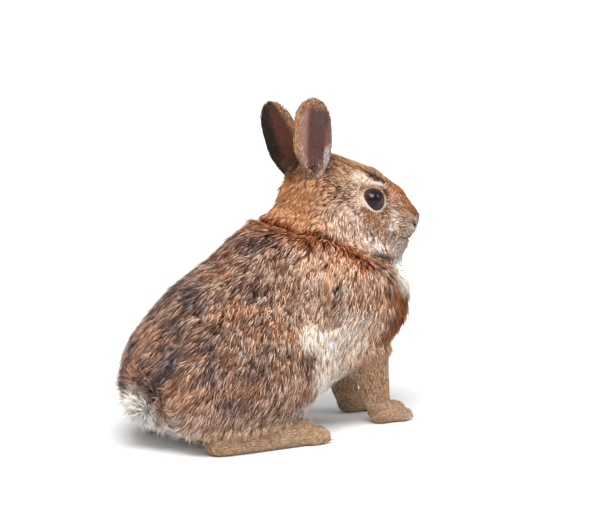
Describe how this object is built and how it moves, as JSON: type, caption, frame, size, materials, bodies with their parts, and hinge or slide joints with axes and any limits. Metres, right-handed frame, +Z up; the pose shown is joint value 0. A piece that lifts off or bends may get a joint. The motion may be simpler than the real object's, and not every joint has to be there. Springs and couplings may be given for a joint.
{
  "type": "sitting cottontail rabbit",
  "caption": "Life-size still model of a cottontail rabbit sitting up on its haunches, with its head turned to the side and its ears raised.",
  "frame": {"origin": "on the floor the feet stand on, below the middle of the whole animal's box", "axes": "+X is the way the body faces, +Y is its left side, +Z is up"},
  "size_m": [0.2438, 0.1232, 0.2381],
  "materials": {
    "coat": "short brown fur, ticked cream and dark brown",
    "nape": "short rust-coloured fur",
    "face": "very short tan fur, pale round the eye",
    "leg": "short tan fur",
    "ear": "thin skin with sparse short hair",
    "eye": "wet, near-black brown",
    "tail": "long white down"
  },
  "bodies": {
    "root": {"torso": "coat", "neck": "nape", "head": "face", "eye_right": "eye", "eye_left": "eye", "ear_right": "ear", "ear_left": "ear", "haunch_right": "coat", "haunch_left": "coat", "hind_foot_right": "leg", "hind_foot_left": "leg", "foreleg_right": "leg", "foreleg_left": "leg", "fore_foot_right": "leg", "fore_foot_left": "leg", "tail": "tail"}
  },
  "joints": []
}
